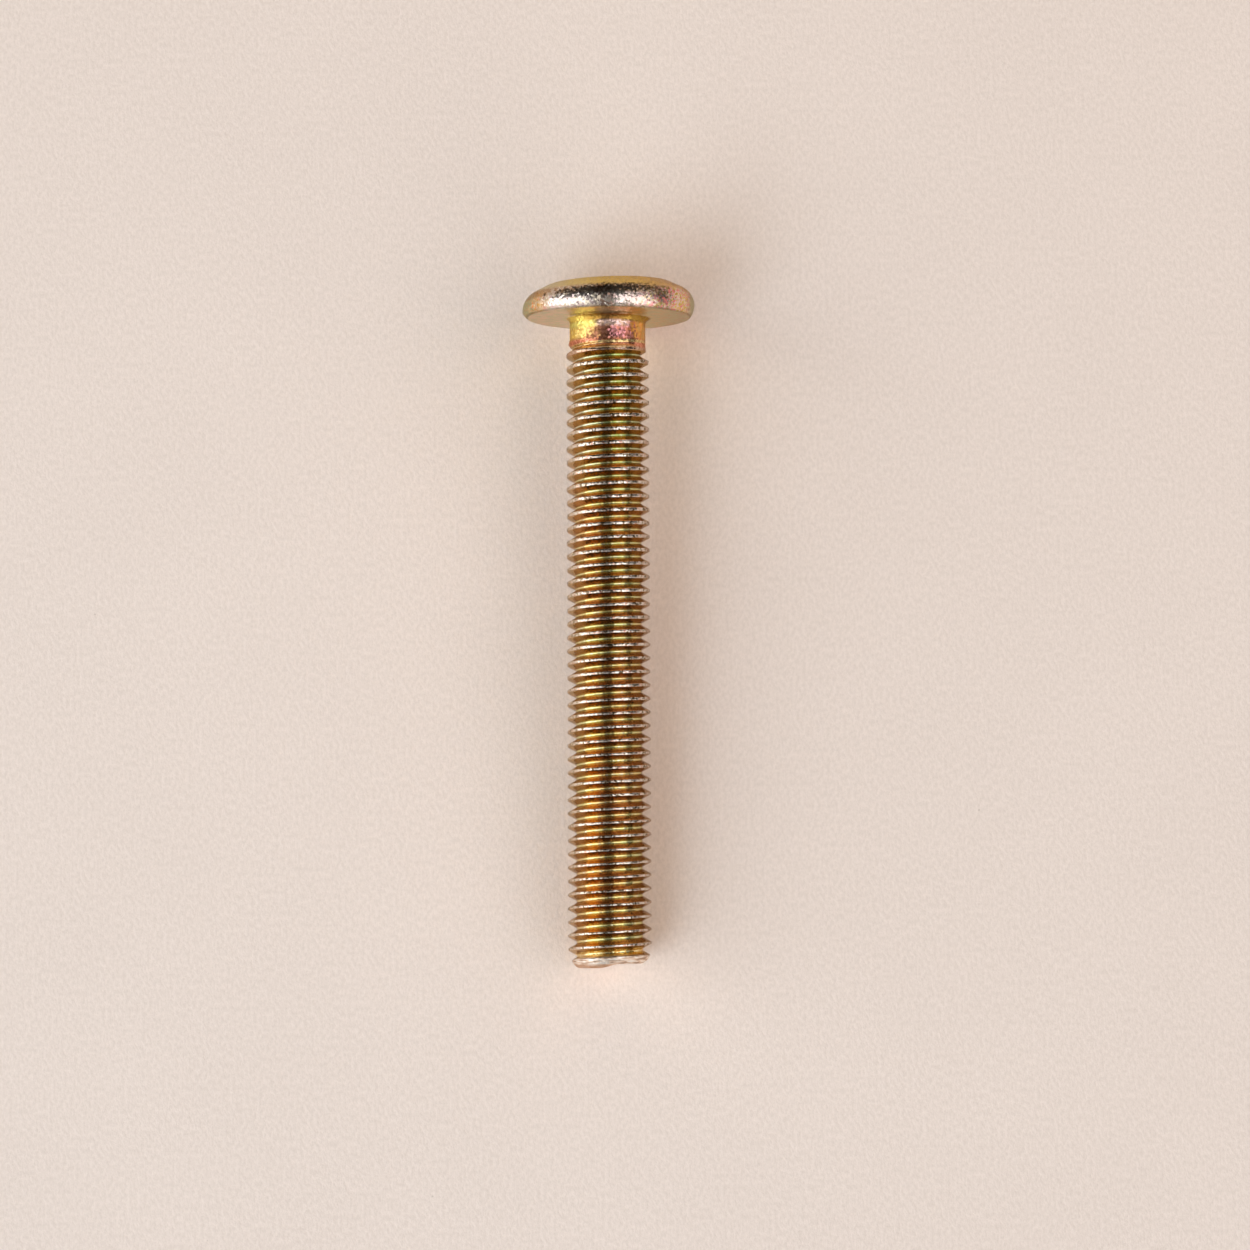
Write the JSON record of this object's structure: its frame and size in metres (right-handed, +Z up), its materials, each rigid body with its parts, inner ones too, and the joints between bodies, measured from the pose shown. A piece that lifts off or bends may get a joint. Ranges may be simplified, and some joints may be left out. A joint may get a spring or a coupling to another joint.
{
  "type": "screw",
  "caption": "One-piece plated steel screw with a wide flat head with a bevelled edge, a hex socket, a short plain neck and a right-hand thread along its whole shank, lying on its side.",
  "frame": {"origin": "on the floor, under the middle of the lying screw's bounding box", "axes": "+Y along the floor from the tip to the head, +Z up; the screw's own axis rises 4.1 degrees towards +Y"},
  "size_m": [0.016, 0.0638, 0.016],
  "materials": {
    "screw": "yellow passivated zinc plating, glossy, with a faint rainbow film"
  },
  "bodies": {
    "root": {"screw": "screw"}
  },
  "joints": []
}
